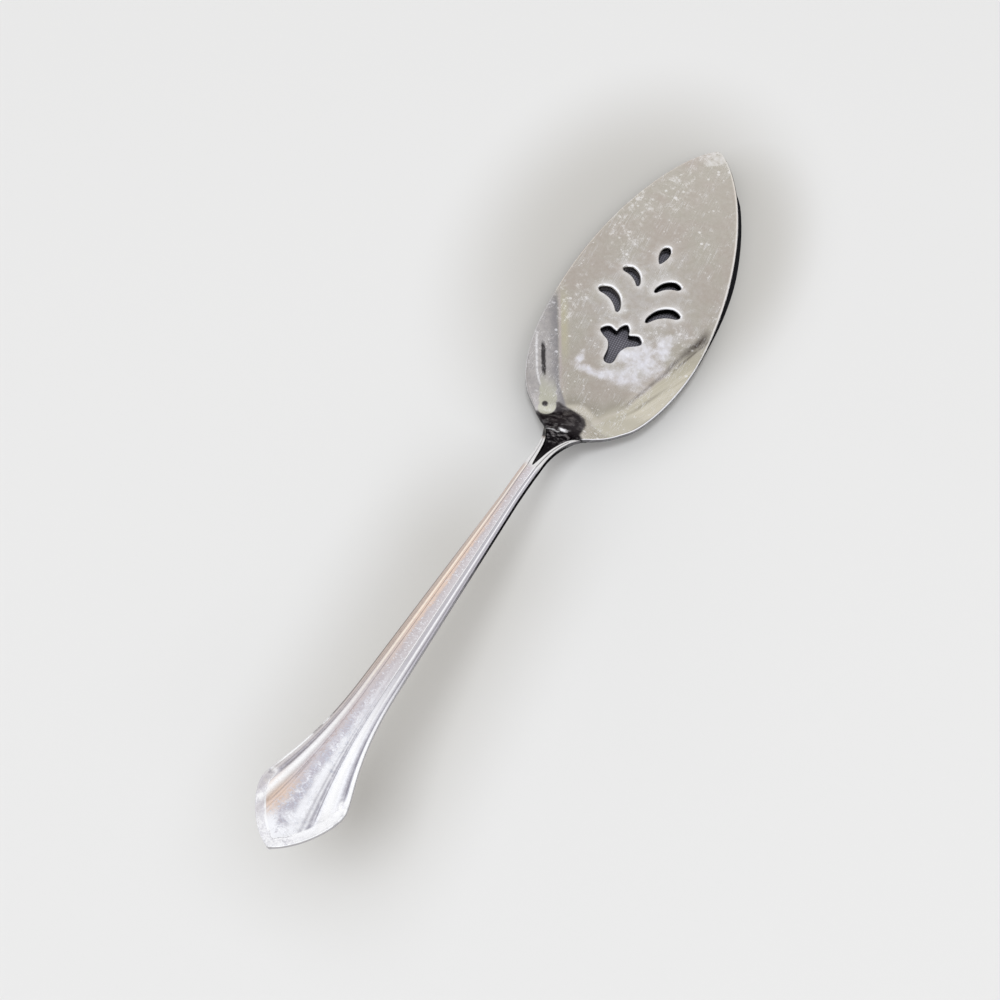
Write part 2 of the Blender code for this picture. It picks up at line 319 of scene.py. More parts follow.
def piercingLines():
    p = bladePiercing
    lines = [lilyLine(p["lily"]), dropLine(*p["drop"])]
    for name in ("upper", "lower"):
        right = crescentLine(*p[name])
        lines += [right, [Vector((-q.x, q.y)) for q in right]]
    return lines


def makePiercing(lines):
    bm = bmesh.new()
    for line in lines:
        roundedCutter(bm, line)
    return newPiece("piercing", bm)


def markBlade(piece, lines):
    b = bladeSheet
    near = KDTree(sum(len(line) for line in lines))
    for i, p in enumerate(p for line in lines for p in line):
        near.insert((p.x, p.y, 0.0), i)
    near.balance()
    names = ("fold", "halo", "lip", "wallShade")
    for name in names:
        piece.data.attributes.new(name, "FLOAT", "POINT")
    fold, halo, lip, wallShade = (piece.data.attributes[name].data for name in names)
    for v in piece.data.vertices:
        x, s = v.co.x / mm, 0.5 * serverLine["end"] - v.co.y / mm
        nearest, _, away = near.find((x, s, 0.0))
        fold[v.index].value = abs(x) - foldAt(s)
        halo[v.index].value = math.exp(-away / b["haloReach"])
        ahead = ease(0.3 + 0.7 * (nearest.y - s) / max(away, 0.01))  # 1 toward the tip, where the holes' edges get a painted highlight
        lip[v.index].value = math.exp(-away / b["lipReach"]) * ahead
        # near the piercing's walls, which are painted black as shade
        wallShade[v.index].value = 1.0 - ease((away - b["wallNear"][0]) / b["wallNear"][1])


holes = piercingLines()
blade = makeBladeSheet()
cutAway(blade, makePiercing(holes), 38)
markBlade(blade, holes)
print("blade pressed and pierced:", len(blade.data.polygons), "faces")


# Handle: forked neck, fluted stem, flared end with a raised border
flutedHandle = {
    "along": 460, "top": 116, "under": 28, "tongueAt": 117.0, "slab": 1.8, "tongueThin": 0.7, "railUp": 0.3,
    "endThick": 2.2, "fluteRun": 10.0, "edgeRound": 0.45, "border": 2.1, "borderDepth": 0.03,
    "outerGroove": (0.84, 0.17, 0.07, 0.34), "innerGroove": (0.42, 0.055, 0.16),
    "thinLine": (0.35, 0.03, 0.06), "rib": (0.61, 0.17, 0.13), "panel": (0.36, 0.1),
}


def handleStation(t):
    h, g = flutedHandle, serverLine
    if t < 0.2:
        return h["tongueAt"] + (g["apexAt"] - h["tongueAt"]) * t / 0.2
    if t < 0.55:
        return g["apexAt"] + (g["flare"] - g["apexAt"]) * (t - 0.2) / 0.35
    if t < 0.75:
        return g["flare"] + (g["shoulder"] - g["flare"]) * (t - 0.55) / 0.2
    return g["shoulder"] + (g["end"] - g["shoulder"]) * math.sin(0.5 * math.pi * (t - 0.75) / 0.25)


def bump(t):
    return (1.0 - t * t) ** 2 if abs(t) < 1.0 else 0.0


def fluteDrop(x, s, half, slope):
    h = flutedHandle
    wide = flareWidth(s)
    f = abs(x) / wide  # past the shoulder the lines fan on and run out at the border
    run = ease((s - serverLine["apexAt"]) / h["fluteRun"]) * min(1.5, max(0.42, wide / 6.0))
    inside = (half - abs(x)) / math.sqrt(1.0 + slope * slope)  # how far in from the outline
    fade, line = 1.0, 0.0
    if s > serverLine["shoulder"] - 4.0:
        end = ease((s - serverLine["shoulder"] + 4.0) / 5.0)
        fade = 1.0 - end * (1.0 - ease((inside - 0.3 * h["border"]) / (1.7 * h["border"])))
        line = end * bump((inside - h["border"]) / (0.4 * h["border"]))
    at, inWide, outWide, deep = h["outerGroove"]
    outer = bump((f - at) / (inWide if f < at else outWide))
    mid = wide * (h["innerGroove"][0] + 0.08 * (1.0 - ease((s - serverLine["apexAt"]) / h["fluteRun"])))
    if s < serverLine["apexAt"]:
        mid = 0.5 * (half + pocketHalf(s))  # runs on along the middle of each rail
    lead = ease((s - serverLine["railAt"] - 3.0) / 5.0) * min(1.5, max(0.42, wide / 6.0))
    inner = bump((abs(x) - mid) / max(0.2, wide * h["innerGroove"][1]))
    thin = bump((f - h["thinLine"][0]) / h["thinLine"][1])
    crown = h["rib"][2] * bump((f - h["rib"][0]) / h["rib"][1]) + h["panel"][1] * bump(f / h["panel"][0])
    drop = deep * outer + h["thinLine"][2] * thin - crown
    # dark: where the grooves are painted as shade
    dark = max(bump((f - at) / 0.045), 0.4 * thin) * min(1.0, run)
    fine = 0.3 if s < serverLine["apexAt"] else max(0.14, 0.032 * wide)
    dark = max(dark, 0.8 * bump((abs(x) - mid) / fine) * min(1.0, 2.4 * lead))
    drop = run * drop + lead * h["innerGroove"][2] * inner
    border = 1.0 - ease((inside - 0.7 * h["border"]) / (0.5 * h["border"]))
    rim = ease((s - serverLine["shoulder"] + 3.0) / 4.0) * border
    return fade * drop + h["borderDepth"] * line, fade * dark, rim


def handleThick(s):
    h, g = flutedHandle, serverLine
    neck = bladeSheet["thick"] + h["railUp"] + g["gap"] + h["slab"]
    along = ease((s - g["neckEnd"]) / (g["shoulder"] - g["neckEnd"]))
    return neck + (h["endThick"] - neck) * along


def handleRing(s):
    h, g = flutedHandle, serverLine
    half = halfWidth(s)
    slope = (halfWidth(min(g["end"], s + 0.05)) - halfWidth(s - 0.05)) / 0.1
    top = riseAt(s) + bladeSheet["thick"] + h["railUp"] - 0.9 * (1.0 - ease((s - g["railAt"]) / 7.0))
    low = top - handleThick(s)
    if s < g["railAt"]:
        back = (g["railAt"] - s) / (g["railAt"] - h["tongueAt"])
        half = max(0.8, (halfWidth(g["railAt"]) - 0.9) * math.sqrt(max(0.0, 1.0 - back ** 2)))
    if s < g["apexAt"]:
        half -= 0.9 * (1.0 - ease((s - g["railAt"]) / 6.0)) if s >= g["railAt"] else 0.0
        grow = ease((s - h["tongueAt"]) / (g["apexAt"] - h["tongueAt"]))
        low = riseAt(s) - g["gap"] - h["tongueThin"] - (h["slab"] - h["tongueThin"]) * grow
    deep = top - low
    corner = min(h["edgeRound"], 0.3 * half, 0.3 * deep)
    ring = []
    for i in range(h["top"] + 1):
        f = 1.0 - 2.0 * i / h["top"]
        inside = (1.0 - abs(f)) * half
        drop, groove, bead = fluteDrop(f * half, s, half, slope)
        if inside < corner:
            drop += corner - math.sqrt(corner ** 2 - (corner - inside) ** 2)
        ring.append((f * half, top - drop, groove, bead))
    for i in range(h["under"] + 1):
        f = -1.0 + 2.0 * i / h["under"]
        ring.append((f * half, low + 0.42 * deep * abs(f) ** 3.5, 0.0, 0.0))
    return ring


def makeHandle():
    h = flutedHandle
    columns = h["top"] + h["under"] + 2
    bm = bmesh.new()
    bmesh.ops.create_grid(bm, x_segments=columns, y_segments=h["along"], size=1.0)
    marks = [bm.verts.layers.float.new(name) for name in ("groove", "bead", "across")]
    stations = [round(handleStation(k / h["along"]), 6) for k in range(h["along"] + 1)]
    rings = [(s, handleRing(s)) for s in stations]
    for v in bm.verts:
        s, ring = rings[round(h["along"] * (0.5 - 0.5 * v.co.y))]
        x, z, groove, bead = ring[round(columns * (0.5 + 0.5 * v.co.x)) % columns]
        v.co = place(x, s, z + dipAt(x, s))
        for mark, value in zip(marks, (groove, bead, x / flareWidth(s))):
            v[mark] = value
    bmesh.ops.remove_doubles(bm, verts=bm.verts[:], dist=0.000002)
    bmesh.ops.holes_fill(bm, edges=[e for e in bm.edges if e.is_boundary])
    return newPiece("flutedHandle", bm)


def makePocket():
    g, h = serverLine, flutedHandle
    lead = g["railAt"] - 0.3 - h["tongueAt"] + 1.8
    rows = [(h["tongueAt"] - 1.8 + lead * k / 6, halfWidth(g["railAt"]) + 1.8) for k in range(7)]
    rows += [(g["railAt"] + 0.5 * k, pocketHalf(g["railAt"] + 0.5 * k)) for k in range(47)]
    bm = bmesh.new()
    rings = []
    for s, half in rows:
        floor = riseAt(s) - g["gap"]
        ring = [place(half * k / 8, s, floor + dipAt(half * k / 8, s)) for k in range(-8, 9)]
        rings.append(ring + [place(half, s, floor + 8), place(-half, s, floor + 8)])
    stackRings(bm, rings)
    return newPiece("pocket", bm)


handle = makeHandle()
cutAway(handle, makePocket(), 40)
print("handle fluted and forked:", len(handle.data.polygons), "faces")

for piece, node in ((blade, "blade"), (handle, "handle")):
    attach(piece, "root")
    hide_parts(node)


def addNode(tree, kind, values=None, links=None, **settings):
    node = tree.nodes.new(kind)
    for key, value in settings.items():
        setattr(node, key, value)
    for key, value in (values or {}).items():
        node.inputs[key].default_value = value
    for key, socket in (links or {}).items():
        tree.links.new(socket, node.inputs[key])
    return node


def startMetal(name):
    material = bpy.data.materials.new(name)
    material.use_nodes = True
    tree = material.node_tree
    tree.nodes.clear()
    out = addNode(tree, "ShaderNodeOutputMaterial")
    shader = addNode(tree, "ShaderNodeBsdfPrincipled", {"Metallic": 1.0})
    tree.links.new(shader.outputs["BSDF"], out.inputs["Surface"])
    coords = addNode(tree, "ShaderNodeTexCoord").outputs["Object"]
    return material, tree, shader, coords


def noiseAt(tree, coords, scale, detail, rough=0.55, distort=0.0):
    values = {"Scale": scale, "Detail": detail, "Roughness": rough, "Distortion": distort}
    return addNode(tree, "ShaderNodeTexNoise", values, {"Vector": coords}).outputs["Fac"]


def band(tree, value, low, high, toLow=0.0, toHigh=1.0):
    values = {"From Min": low, "From Max": high, "To Min": toLow, "To Max": toHigh}
    node = addNode(tree, "ShaderNodeMapRange", values, {"Value": value}, interpolation_type="SMOOTHSTEP")
    return node.outputs["Result"]


def combine(tree, how, a, b):
    node = addNode(tree, "ShaderNodeMath", operation=how)
    for socket, value in zip(node.inputs, (a, b)):
        if isinstance(value, (int, float)):
            socket.default_value = value
        else:
            tree.links.new(value, socket)
    return node.outputs[0]


def tint(tree, factor, a, b):
    node = addNode(tree, "ShaderNodeMix", data_type="RGBA")
    tree.links.new(factor, node.inputs["Factor"])
    for socket, value in ((node.inputs[6], a), (node.inputs[7], b)):
        if isinstance(value, tuple):
            socket.default_value = (*value, 1.0)
        else:
            tree.links.new(value, socket)
    return node.outputs[2]


def spotAt(tree, coords, x, s, wideX, wideS, soft, ragged=None, rag=0.0):
    spot = place(x, s, 0.0)
    spanX, spanY = wideX * mm, wideS * mm
    values = {"Location": (-spot.x / spanX, -spot.y / spanY, 0.0), "Scale": (1.0 / spanX, 1.0 / spanY, 0.0)}
    near = addNode(tree, "ShaderNodeMapping", values, {"Vector": coords}).outputs["Vector"]
    away = addNode(tree, "ShaderNodeVectorMath", links={0: near}, operation="LENGTH").outputs["Value"]
    if ragged:  # noise eats into the edge
        away = combine(tree, "ADD", away, band(tree, ragged, 0.25, 0.75, rag, -rag))
    return band(tree, away, 1.0 + soft, 1.0 - soft)


def scratchesAt(tree, coords, turn, scale, width):
    values = {"Rotation": (0.0, 0.0, turn), "Scale": (scale, 0.035 * scale, scale)}
    stretched = addNode(tree, "ShaderNodeMapping", values, {"Vector": coords}).outputs["Vector"]
    line = noiseAt(tree, stretched, 1.0, 1.0)
    return band(tree, combine(tree, "ABSOLUTE", combine(tree, "SUBTRACT", line, 0.5), 0.0), width, 0.0)


def markAt(tree, name):
    return addNode(tree, "ShaderNodeAttribute", attribute_name=name).outputs["Fac"]


def times(tree, *factors):
    product = factors[0]
    for factor in factors[1:]:
        product = combine(tree, "MULTIPLY", product, factor)
    return product


def most(tree, *factors):
    top = factors[0]
    for factor in factors[1:]:
        top = combine(tree, "MAXIMUM", top, factor)
    return top


def less(tree, factor):
    return combine(tree, "SUBTRACT", 1.0, factor)


def splitAt(tree, coords):
    axes = addNode(tree, "ShaderNodeSeparateXYZ", links={0: coords}).outputs
    return axes["X"], axes["Y"]


def facingUp(tree):
    normal = addNode(tree, "ShaderNodeNewGeometry").outputs["Normal"]
    return addNode(tree, "ShaderNodeSeparateXYZ", links={0: normal}).outputs["Z"]


def backFromTip(tree, y, first, last, soft):  # 1 between two distances from the tip, in mm
    start, stop = (0.5 * serverLine["end"] - s for s in (first, last))
    ahead = band(tree, y, (start + soft) * mm, (start - soft) * mm)
    return combine(tree, "MULTIPLY", ahead, band(tree, y, (stop - soft) * mm, (stop + soft) * mm))


def hump(tree, value, at, reach):  # 1 at a value, down to 0 at its reach either side
    return band(tree, combine(tree, "ABSOLUTE", combine(tree, "SUBTRACT", value, at), 0.0), reach, 0.0)


bladeFinish = {
    "rosy": (0.69, 0.625, 0.575), "olive": (0.665, 0.635, 0.57), "pale": (0.78, 0.74, 0.695),
    "filmAndHighlight": (0.93, 0.93, 0.965), "haze": (0.84, 0.82, 0.82), "tan": (0.55, 0.52, 0.43),
    "tanPale": (0.65, 0.615, 0.525), "strip": (0.75, 0.71, 0.555), "leftDeep": (0.38, 0.37, 0.39),
    "leftPale": (0.56, 0.54, 0.54), "foldDarkReflection": (0.115, 0.095, 0.085), "wallShade": (0.12, 0.115, 0.12),
    "powder": (0.76, 0.76, 0.83), "flank": (0.48, 0.455, 0.385), "leftRim": (0.34, 0.32, 0.29),
    "foldReflection": (0.74, 0.65, 0.68), "black": (0.012, 0.011, 0.013), "paintedDark": (0.065, 0.06, 0.063),
    "paintedDarkPale": (0.16, 0.15, 0.152), "paintedDarkDeep": (0.032, 0.03, 0.032), "lowSheen": (0.3, 0.3, 0.3),
    "vein": (0.26, 0.25, 0.26), "gloss": 0.16,
    "smudges": ((9.2, 88.0, 6.0, 6.4), (13.4, 81.5, 2.6, 5.0), (-2.2, 96.8, 6.0, 1.5),
                (-8.0, 94.2, 1.2, 2.6), (6.5, 94.8, 6.5, 3.4), (4.0, 88.0, 2.5, 3.0)),
    "dusty": ((-20.5, 75.0, 4.5, 7.0), (13.0, 76.0, 7.0, 5.0), (-15.0, 38.0, 4.0, 15.0),
              (-6.0, 20.0, 5.0, 8.0)),
    "frost": (-1.6, 3.6, 6.2, 3.4), "hazeSpot": (1.5, 68.0, 14.0, 17.0), "dash": (5.3, 94.6, 105.2),
    "leftLine": (7.5, 93.0, 109.0), "glint": (-0.1, 124.4, 1.1, 0.8), "glint2": (-2.6, 126.0, 1.7, 0.45),
    "tongue": ((-9.1, 115.0, 2.4, 3.8), (-10.2, 112.0, 2.5, 3.5), (-11.6, 108.8, 2.4, 3.4),
               (-13.0, 105.6, 2.3, 3.2)),
    "tongueReflection": (0.60, 0.60, 0.50), "dot": (-10.1, 114.3, 0.85, 1.05),
}


def bladeMetal():
    f = bladeFinish
    material, tree, shader, coords = startMetal("bladeMetal")
    x, y = splitAt(tree, coords)
    fold, halo, lip, paintedDark, edge = (markAt(tree, name) for name in ("fold", "halo", "lip", "paintedDark", "edge"))
    facing = facingUp(tree)
    cloud = noiseAt(tree, coords, 60.0, 4.0, 0.6, 0.5)
    blot = noiseAt(tree, coords, 210.0, 7.0, 0.62, 0.15)
    inside = noiseAt(tree, coords, 420.0, 5.0, 0.65)
    mottle = noiseAt(tree, coords, 750.0, 5.0, 0.68)
    grain = noiseAt(tree, coords, 2600.0, 3.0, 0.6)
    right = band(tree, x, -0.001, 0.001)
    left = less(tree, right)

    # floor of the blade, brushed and mottled
    colour = tint(tree, band(tree, cloud, 0.36, 0.64), f["rosy"], f["olive"])
    colour = tint(tree, times(tree, band(tree, mottle, 0.36, 0.68), 0.55), colour, f["pale"])
    hazy = times(tree, spotAt(tree, coords, *f["hazeSpot"], 0.7, blot, 0.5),
                 band(tree, inside, 0.32, 0.62, 0.3, 1.0), 0.7)
    colour = tint(tree, hazy, colour, f["haze"])

    # turned-up sides: painted reflection, tan on the right wing and darker on the left, with painted
    # highlights along the left fold
    wing = times(tree, band(tree, fold, -0.5, 0.9), band(tree, y, 0.064, 0.056))
    drawn = addNode(tree, "ShaderNodeCombineXYZ",
                    links={"X": fold, "Y": times(tree, y, 45.0)}).outputs["Vector"]
    drawn = band(tree, noiseAt(tree, drawn, 0.5, 4.0, 0.55, 0.8), 0.36, 0.66)
    lean = combine(tree, "ADD", fold,
                   combine(tree, "ADD", times(tree, y, 100.0), band(tree, cloud, 0.3, 0.7, -4.7, -3.9)))
    # painted reflection: the right wing tan
    colour = tint(tree, times(tree, band(tree, lean, 0.2, 1.6), band(tree, y, 0.064, 0.052), right), colour,
                  tint(tree, drawn, f["tan"], f["tanPale"]))
    # painted highlight: pale strip along the left fold
    strip = times(tree, hump(tree, fold, -1.7, 2.4), backFromTip(tree, y, 75.0, 95.0, 6.0), left)
    colour = tint(tree, times(tree, strip, band(tree, mottle, 0.3, 0.6, 0.7, 1.0)), colour, f["strip"])
    # painted shade: darker where the floor curves up into the heel
    flank = times(tree, hump(tree, fold, 0.4, 5.0), backFromTip(tree, y, 102.0, 121.0, 4.0), right)
    heel = times(tree, backFromTip(tree, y, 107.5, 122.0, 3.0), band(tree, x, -0.008, -0.004), 0.7)
    colour = tint(tree, most(tree, times(tree, flank, 0.9), heel), colour, f["flank"])
    lighter = combine(tree, "ADD", band(tree, fold, 0.0, 5.0, -0.2, 0.6),
                      band(tree, mottle, 0.3, 0.7, -0.1, 0.5))
    # painted reflection: the left wing darker
    outer = tint(tree, lighter, f["leftDeep"], f["leftPale"])
    colour = tint(tree, times(tree, wing, left), colour, outer)
    # painted reflection: pink tint along the left fold
    foldReflection = times(tree, hump(tree, fold, -0.3, 0.7), backFromTip(tree, y, 74.0, 104.0, 5.0), left)
    colour = tint(tree, times(tree, foldReflection, 0.6), colour, f["foldReflection"])
    # painted highlight: white line along the left wing
    line = times(tree, hump(tree, fold, f["leftLine"][0], 0.7),
                 backFromTip(tree, y, *f["leftLine"][1:], 3.0), left)
    colour = tint(tree, times(tree, line, band(tree, mottle, 0.3, 0.6, 0.4, 1.0)), colour, f["filmAndHighlight"])

    # painted dark reflections along the folds: hooked streaks on the right wing, a dash on the left
    hook = times(tree, hump(tree, lean, 0.1, 2.5), backFromTip(tree, y, 70.0, 80.0, 4.0))
    pair = times(tree, hump(tree, lean, 1.7, 0.7), backFromTip(tree, y, 71.0, 86.0, 4.0), 0.7)
    trail = times(tree, hump(tree, lean, 0.0, 1.3), backFromTip(tree, y, 74.0, 104.0, 6.0), 0.6)
    lower = times(tree, hump(tree, fold, 4.8, 1.0), backFromTip(tree, y, 95.0, 107.0, 6.0), 0.4)
    foldDarkReflection = times(tree, most(tree, hook, pair, trail, lower), right,
                   band(tree, inside, 0.3, 0.55, 0.6, 1.0))
    colour = tint(tree, foldDarkReflection, colour, f["foldDarkReflection"])
    ragged = combine(tree, "ADD", fold, band(tree, inside, 0.3, 0.7, -0.2, 0.2))
    dash = times(tree, hump(tree, ragged, f["dash"][0], 1.3), backFromTip(tree, y, *f["dash"][1:], 2.2),
                 left)
    colour = tint(tree, band(tree, dash, 0.08, 0.75), colour, f["paintedDark"])

    # heel: painted reflections, a pale tongue with a dark dot, and the hollow painted dark with paler
    # streaks
    # painted reflection: pale tongue and its dark dot in the heel's corner
    tongue = most(tree, *(spotAt(tree, coords, *spot, 0.1) for spot in f["tongue"]))
    dot = spotAt(tree, coords, *f["dot"], 0.3)
    colour = tint(tree, times(tree, tongue, backFromTip(tree, y, 107.0, 130.0, 4.5), 0.8), colour,
                  f["tongueReflection"])
    # painted highlight along the rim
    colour = tint(tree, edge, colour, f["filmAndHighlight"])
    hollow = times(tree, paintedDark, less(tree, tongue))
    depth = tint(tree, band(tree, inside, 0.42, 0.66), f["paintedDark"], f["paintedDarkPale"])
    depth = tint(tree, backFromTip(tree, y, 123.5, 160.0, 4.0), depth, f["paintedDarkDeep"])
    veins = times(tree, band(tree, inside, 0.5, 0.6), backFromTip(tree, y, 123.0, 133.0, 3.0))
    depth = tint(tree, times(tree, veins, 0.8), depth, f["vein"])
    colour = tint(tree, hollow, colour, depth)
    colour = tint(tree, dot, colour, f["paintedDark"])

    # painted shade: the piercing's walls black, the rear rim's side walls darker, and the left front rim
    # darker to mute its reflection
    wallShade = markAt(tree, "wallShade")
    rim = times(tree, band(tree, facing, 0.3, 0.1), backFromTip(tree, y, 60.0, 135.0, 8.0), 0.85)
    colour = tint(tree, rim, colour, f["wallShade"])
    colour = tint(tree, wallShade, colour, f["black"])
    front = times(tree, left, band(tree, facing, 0.97, 0.75), backFromTip(tree, y, -10.0, 74.0, 6.0))
    colour = tint(tree, front, colour, f["leftRim"])

    # powdery film, specks and scratches, with painted highlights on the upper edges of the holes and
    # painted glints in the hollow
    spots = [spotAt(tree, coords, *spot, 0.6, blot, 0.35) for spot in f["smudges"]]
    smudge = times(tree, most(tree, *spots), band(tree, inside, 0.3, 0.6, 0.62, 1.0),
                   band(tree, mottle, 0.3, 0.6, 0.6, 1.0), 0.95)
    colour = tint(tree, smudge, colour, f["powder"])
    frost = times(tree, spotAt(tree, coords, *f["frost"], 0.3, blot, 0.4),
                  band(tree, mottle, 0.36, 0.64, 0.1, 0.45))
    dusty = most(tree, *(spotAt(tree, coords, *spot, 0.5, blot, 0.5) for spot in f["dusty"]))
    faint = times(tree, dusty, band(tree, inside, 0.47, 0.64), band(tree, mottle, 0.42, 0.6), 0.5)
    # painted highlight on the holes' upper edges, with a haze around them
    holeHighlightAndHaze = most(tree, band(tree, lip, 0.25, 0.6),
                times(tree, band(tree, halo, 0.08, 0.8), band(tree, blot, 0.3, 0.62, 0.15, 0.45)))
    specks = addNode(tree, "ShaderNodeTexVoronoi", {"Scale": 300.0}, {"Vector": coords}).outputs["Distance"]
    fine = addNode(tree, "ShaderNodeTexVoronoi", {"Scale": 700.0}, {"Vector": coords}).outputs["Distance"]
    where = most(tree, band(tree, cloud, 0.52, 0.58), times(tree, dusty, 0.9))
    flecks = most(tree, times(tree, band(tree, specks, 0.2, 0.1), where),
                  times(tree, band(tree, fine, 0.26, 0.12), band(tree, blot, 0.46, 0.58), 0.75))
    # painted highlights: glints in the heel's hollow
    glint = most(tree, spotAt(tree, coords, *f["glint"], 0.5, mottle, 0.5),
                 times(tree, spotAt(tree, coords, *f["glint2"], 0.6, mottle, 0.9), 0.45))
    filmAndHighlight = most(tree, frost, faint, holeHighlightAndHaze, times(tree, flecks, 0.5), times(tree, smudge, flecks))
    filmAndHighlight = times(tree, filmAndHighlight, less(tree, most(tree, dot, times(tree, hollow, 0.75), rim, wallShade)))
    filmAndHighlight = most(tree, filmAndHighlight, glint)
    cuts = ((0.5, 900.0), (-0.9, 700.0), (1.9, 1100.0))
    lines = most(tree, *(scratchesAt(tree, coords, turn, scale, 0.012) for turn, scale in cuts))
    lines = times(tree, lines, band(tree, blot, 0.42, 0.58))
    colour = tint(tree, most(tree, filmAndHighlight, times(tree, lines, less(tree, hollow), 0.55)), colour, f["filmAndHighlight"])
    tree.links.new(colour, shader.inputs["Base Color"])
    powdery = most(tree, times(tree, filmAndHighlight, 0.85), times(tree, smudge, 0.6))
    tree.links.new(less(tree, powdery), shader.inputs["Metallic"])
    sheen = tint(tree, hollow, (1.0, 1.0, 1.0), f["lowSheen"])  # less sheen where the hollow is painted dark
    tree.links.new(sheen, shader.inputs["Specular Tint"])
    rough = combine(tree, "ADD", band(tree, cloud, 0.3, 0.7, f["gloss"], f["gloss"] + 0.09),
                    times(tree, most(tree, filmAndHighlight, smudge), 0.26))
    rough = combine(tree, "ADD", rough, times(tree, most(tree, glint, edge), 0.3))
    tree.links.new(combine(tree, "ADD", rough, times(tree, lines, 0.12)), shader.inputs["Roughness"])
    height = combine(tree, "ADD", times(tree, mottle, 0.5), times(tree, grain, 0.3))
    height = combine(tree, "SUBTRACT", height, times(tree, lines, 0.5))
    dents = addNode(tree, "ShaderNodeBump", {"Strength": 0.14, "Distance": 0.0001}, {"Height": height})
    tree.links.new(dents.outputs["Normal"], shader.inputs["Normal"])
    return material


handleFinish = {
    "peach": (0.76, 0.60, 0.51), "pink": (0.60, 0.535, 0.535), "lilac": (0.56, 0.54, 0.62),
    "stem": (0.56, 0.515, 0.535), "frost": (0.59, 0.62, 0.73), "ice": (0.92, 0.93, 0.98),
    "softShade": (0.34, 0.33, 0.39), "mauve": (0.56, 0.46, 0.455), "brink": (0.47, 0.455, 0.465),
    "band": (0.58, 0.49, 0.44), "shade": (0.47, 0.46, 0.51), "wing": (0.63, 0.60, 0.61),
    "mist": (0.67, 0.65, 0.70), "rib": (0.975, 0.98, 1.0), "rail": (0.86, 0.855, 0.86),
    "cream": (0.98, 0.91, 0.80), "dark": (0.10, 0.09, 0.095), "black": (0.022, 0.02, 0.021), "gloss": 0.15,
}


